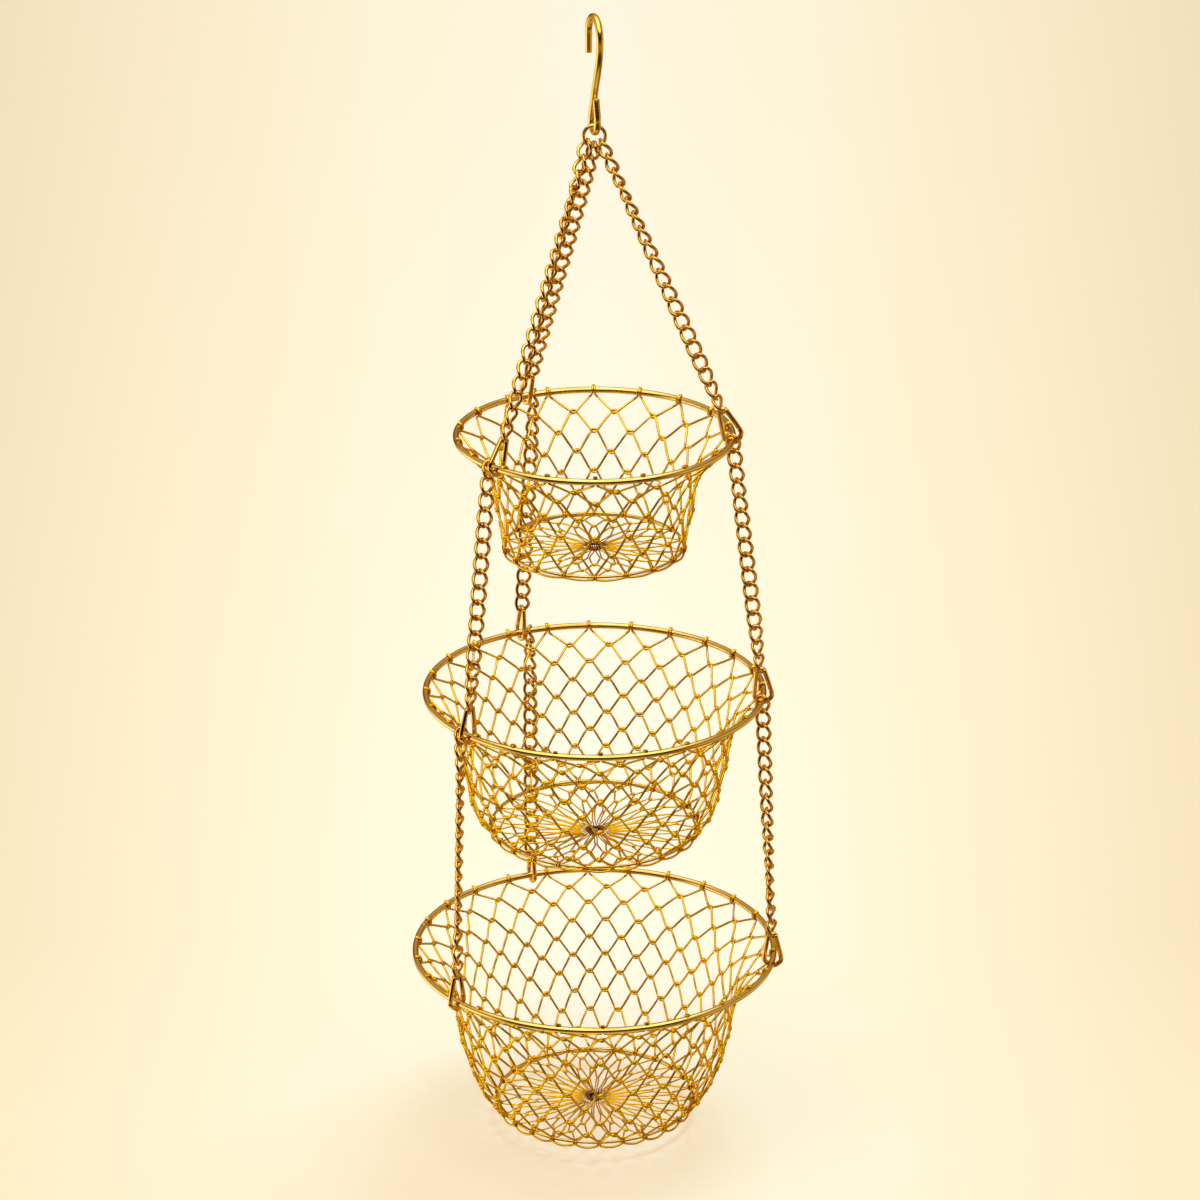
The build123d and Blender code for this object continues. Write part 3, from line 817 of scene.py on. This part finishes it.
# The even light on the floor by height, from straight down (0) to straight up (1)
EVEN_LIGHT = ((0.5, "#F6E7CB"), (0.64, "#F6E7CB"), (0.75, "#EEDAC5"), (1.0, "#EEDAC5"))

# What the brass sees on each side, also by height
STUDIO = {
    "left": ((0.0, "#B4AA96"), (0.2, "#B4AA96"), (0.28, "#FFFBF0"), (0.42, "#FFFBF0"), (0.5, "#B4AA96"),
             (0.75, "#846E4E"), (0.88, "#B4AA96"), (0.93, "#FFFFFF"), (1.0, "#FFFFFF")),
    "right": ((0.0, "#846E4E"), (0.25, "#6A5638"), (0.35, "#B4AA96"), (0.6, "#846E4E"), (0.86, "#846E4E"),
              (0.93, "#FFFFFF"), (1.0, "#FFFFFF")),
    "front": ((0.0, "#C0B498"), (0.085, "#C0B498"), (0.1, "#0A0402"), (0.26, "#0A0402"), (0.285, "#A08054"),
              (0.345, "#A08054"), (0.37, "#0A0402"), (0.73, "#0A0402"), (0.77, "#FFFBF0"),
              (0.93, "#FFFFFF"), (1.0, "#B8A880")),
    "back": ((0.0, "#C0B498"), (0.3, "#A48458"), (0.42, "#846E4E"), (0.48, "#2C130A"), (0.53, "#2C130A"),
             (0.57, "#6A5638"), (0.87, "#A4967C"), (0.93, "#FFFBF0"), (1.0, "#FFFFFF")),
}

# Where each of the other sides begins and is full, along an axis of the mirrored direction
STUDIO_SIDES = (("right", "X", -0.35, 0.35), ("front", "Y", -0.3, -0.6), ("back", "Y", 0.55, 0.85))


def make_floor():
    """A wide cream floor that the camera sees as the whole background, with painted light falloff: lighter
    in the middle, darker and warmer towards both sides.

    The brass doesn't mirror it: the studio's lower half stands for it there."""
    mesh = bpy.data.meshes.new("floor")
    corners = ((-1, -1), (1, -1), (1, 1), (-1, 1))
    verts = [(x * FLOOR_REACH, y * FLOOR_REACH, FLOOR_Z * MM) for x, y in corners]
    mesh.from_pydata(verts, [], [(0, 1, 2, 3)])
    obj = bpy.data.objects.new("floor", mesh)
    bpy.context.scene.collection.objects.link(obj)
    material = bpy.data.materials.new("painted_studio_floor")
    material.use_nodes = True
    tree = material.node_tree
    tree.nodes.remove(tree.nodes["Principled BSDF"])
    place = add_node(tree, "ShaderNodeTexCoord").outputs["Object"]
    parts = add_node(tree, "ShaderNodeSeparateXYZ", vector=place).outputs
    aside = add_node(tree, "ShaderNodeMath", {"operation": "ABSOLUTE"}, (parts["X"],))
    (near, near_width), (far, far_width) = PICTURE_EDGE
    width = add_node(tree, "ShaderNodeMapRange", value=parts["Y"], from_min=near, from_max=far,
                     to_min=near_width, to_max=far_width)
    share = add_node(tree, "ShaderNodeMath", {"operation": "DIVIDE"}, (aside, width))
    # painted light falloff: the floor's colour grows darker and warmer towards the picture's edges
    paints = []
    for stops in (NEAR_PAINT_AND_FALLOFF, FAR_PAINT_AND_FALLOFF):
        ramp = add_node(tree, "ShaderNodeValToRGB", inputs=(share,), stops=stops)
        paints.append(add_node(tree, "ShaderNodeBsdfDiffuse", color=ramp, roughness=0.5))
    blend = add_node(tree, "ShaderNodeMapRange", value=parts["Y"], from_min=PAINT_BLEND[0],
                     from_max=PAINT_BLEND[1])
    painted = add_node(tree, "ShaderNodeMixShader", inputs=(blend, *paints))
    clear = add_node(tree, "ShaderNodeBsdfTransparent")
    mirrored = add_node(tree, "ShaderNodeLightPath").outputs["Is Glossy Ray"]
    mix = add_node(tree, "ShaderNodeMixShader", inputs=(mirrored, painted, clear))
    tree.links.new(mix.outputs[0], tree.nodes["Material Output"].inputs["Surface"])
    obj.data.materials.append(material)


def make_light(name, place, target, size, power, colour):
    """A soft box that shines from one place at another."""
    data = bpy.data.lights.new(name, "AREA")
    data.shape = "RECTANGLE"
    data.size, data.size_y = size
    data.energy = power
    data.color = linear(colour)[:3]
    obj = bpy.data.objects.new(name, data)
    bpy.context.scene.collection.objects.link(obj)
    obj.location = place
    obj.rotation_euler = (Vector(target) - Vector(place)).to_track_quat("-Z", "Y").to_euler()


def make_world():
    """Even light for the floor, and a studio with bright and dark sides for what the brass mirrors."""
    world = bpy.data.worlds.new("studio")
    bpy.context.scene.world = world
    world.use_nodes = True
    tree = world.node_tree
    tree.nodes.clear()
    way = add_node(tree, "ShaderNodeTexCoord").outputs["Generated"]
    upward = add_node(tree, "ShaderNodeSeparateXYZ", vector=way).outputs["Z"]
    height = add_node(tree, "ShaderNodeMapRange", value=upward, from_min=-1.0, from_max=1.0)
    glow = add_node(tree, "ShaderNodeValToRGB", inputs=(height,), stops=EVEN_LIGHT)
    even = add_node(tree, "ShaderNodeBackground", color=glow, strength=1.0)
    level = add_node(tree, "ShaderNodeVectorMath", {"operation": "MULTIPLY"}, (way, (1.0, 1.0, 0.0)))
    unit = add_node(tree, "ShaderNodeVectorMath", {"operation": "NORMALIZE"}, (level,))
    flat = add_node(tree, "ShaderNodeSeparateXYZ", vector=unit).outputs
    walls = {}
    for name, stops in STUDIO.items():
        ramp = add_node(tree, "ShaderNodeValToRGB", inputs=(height,), stops=stops)
        walls[name] = add_node(tree, "ShaderNodeBackground", color=ramp, strength=STUDIO_STRENGTH)
    mixed = walls["left"]
    for name, axis, begins, ends in STUDIO_SIDES:
        share = add_node(tree, "ShaderNodeMapRange", value=flat[axis], from_min=begins, from_max=ends)
        mixed = add_node(tree, "ShaderNodeMixShader", inputs=(share, mixed, walls[name]))
    mirrored = add_node(tree, "ShaderNodeLightPath").outputs["Is Glossy Ray"]
    mixed = add_node(tree, "ShaderNodeMixShader", inputs=(mirrored, even, mixed))
    add_node(tree, "ShaderNodeOutputWorld", surface=mixed)


def make_window():
    """A cool, low sun through a wide window: it isn't mirrored, and what it can't reach looks warm."""
    data = bpy.data.lights.new("cool_window", "SUN")
    data.energy = 1.6
    data.angle = radians(26)
    data.color = linear("#93D7FF")[:3]
    obj = bpy.data.objects.new("cool_window", data)
    obj.rotation_euler = Vector((-0.25, -0.38, -1.0)).to_track_quat("-Z", "Y").to_euler()
    obj.visible_glossy = False
    bpy.context.scene.collection.objects.link(obj)


def make_camera():
    """The photograph's viewpoint, fitted to the three rims as they show there."""
    data = bpy.data.cameras.new("camera")
    data.sensor_width = 36.0
    data.lens = 122.82
    obj = bpy.data.objects.new("camera", data)
    obj.location = (0.004, -2.7895, 0.6839)
    obj.rotation_euler = (radians(68.17), 0.0, 0.0)
    bpy.context.scene.collection.objects.link(obj)
    return obj


make_floor()
make_world()
make_light("overhead_softbox", (-0.25, -0.25, 1.7), (0, 0, -0.85), (0.6, 0.6), 6.0, "#FFFAF0")
make_window()

scene = bpy.context.scene
scene.view_settings.view_transform = "Standard"
scene.camera = make_camera()
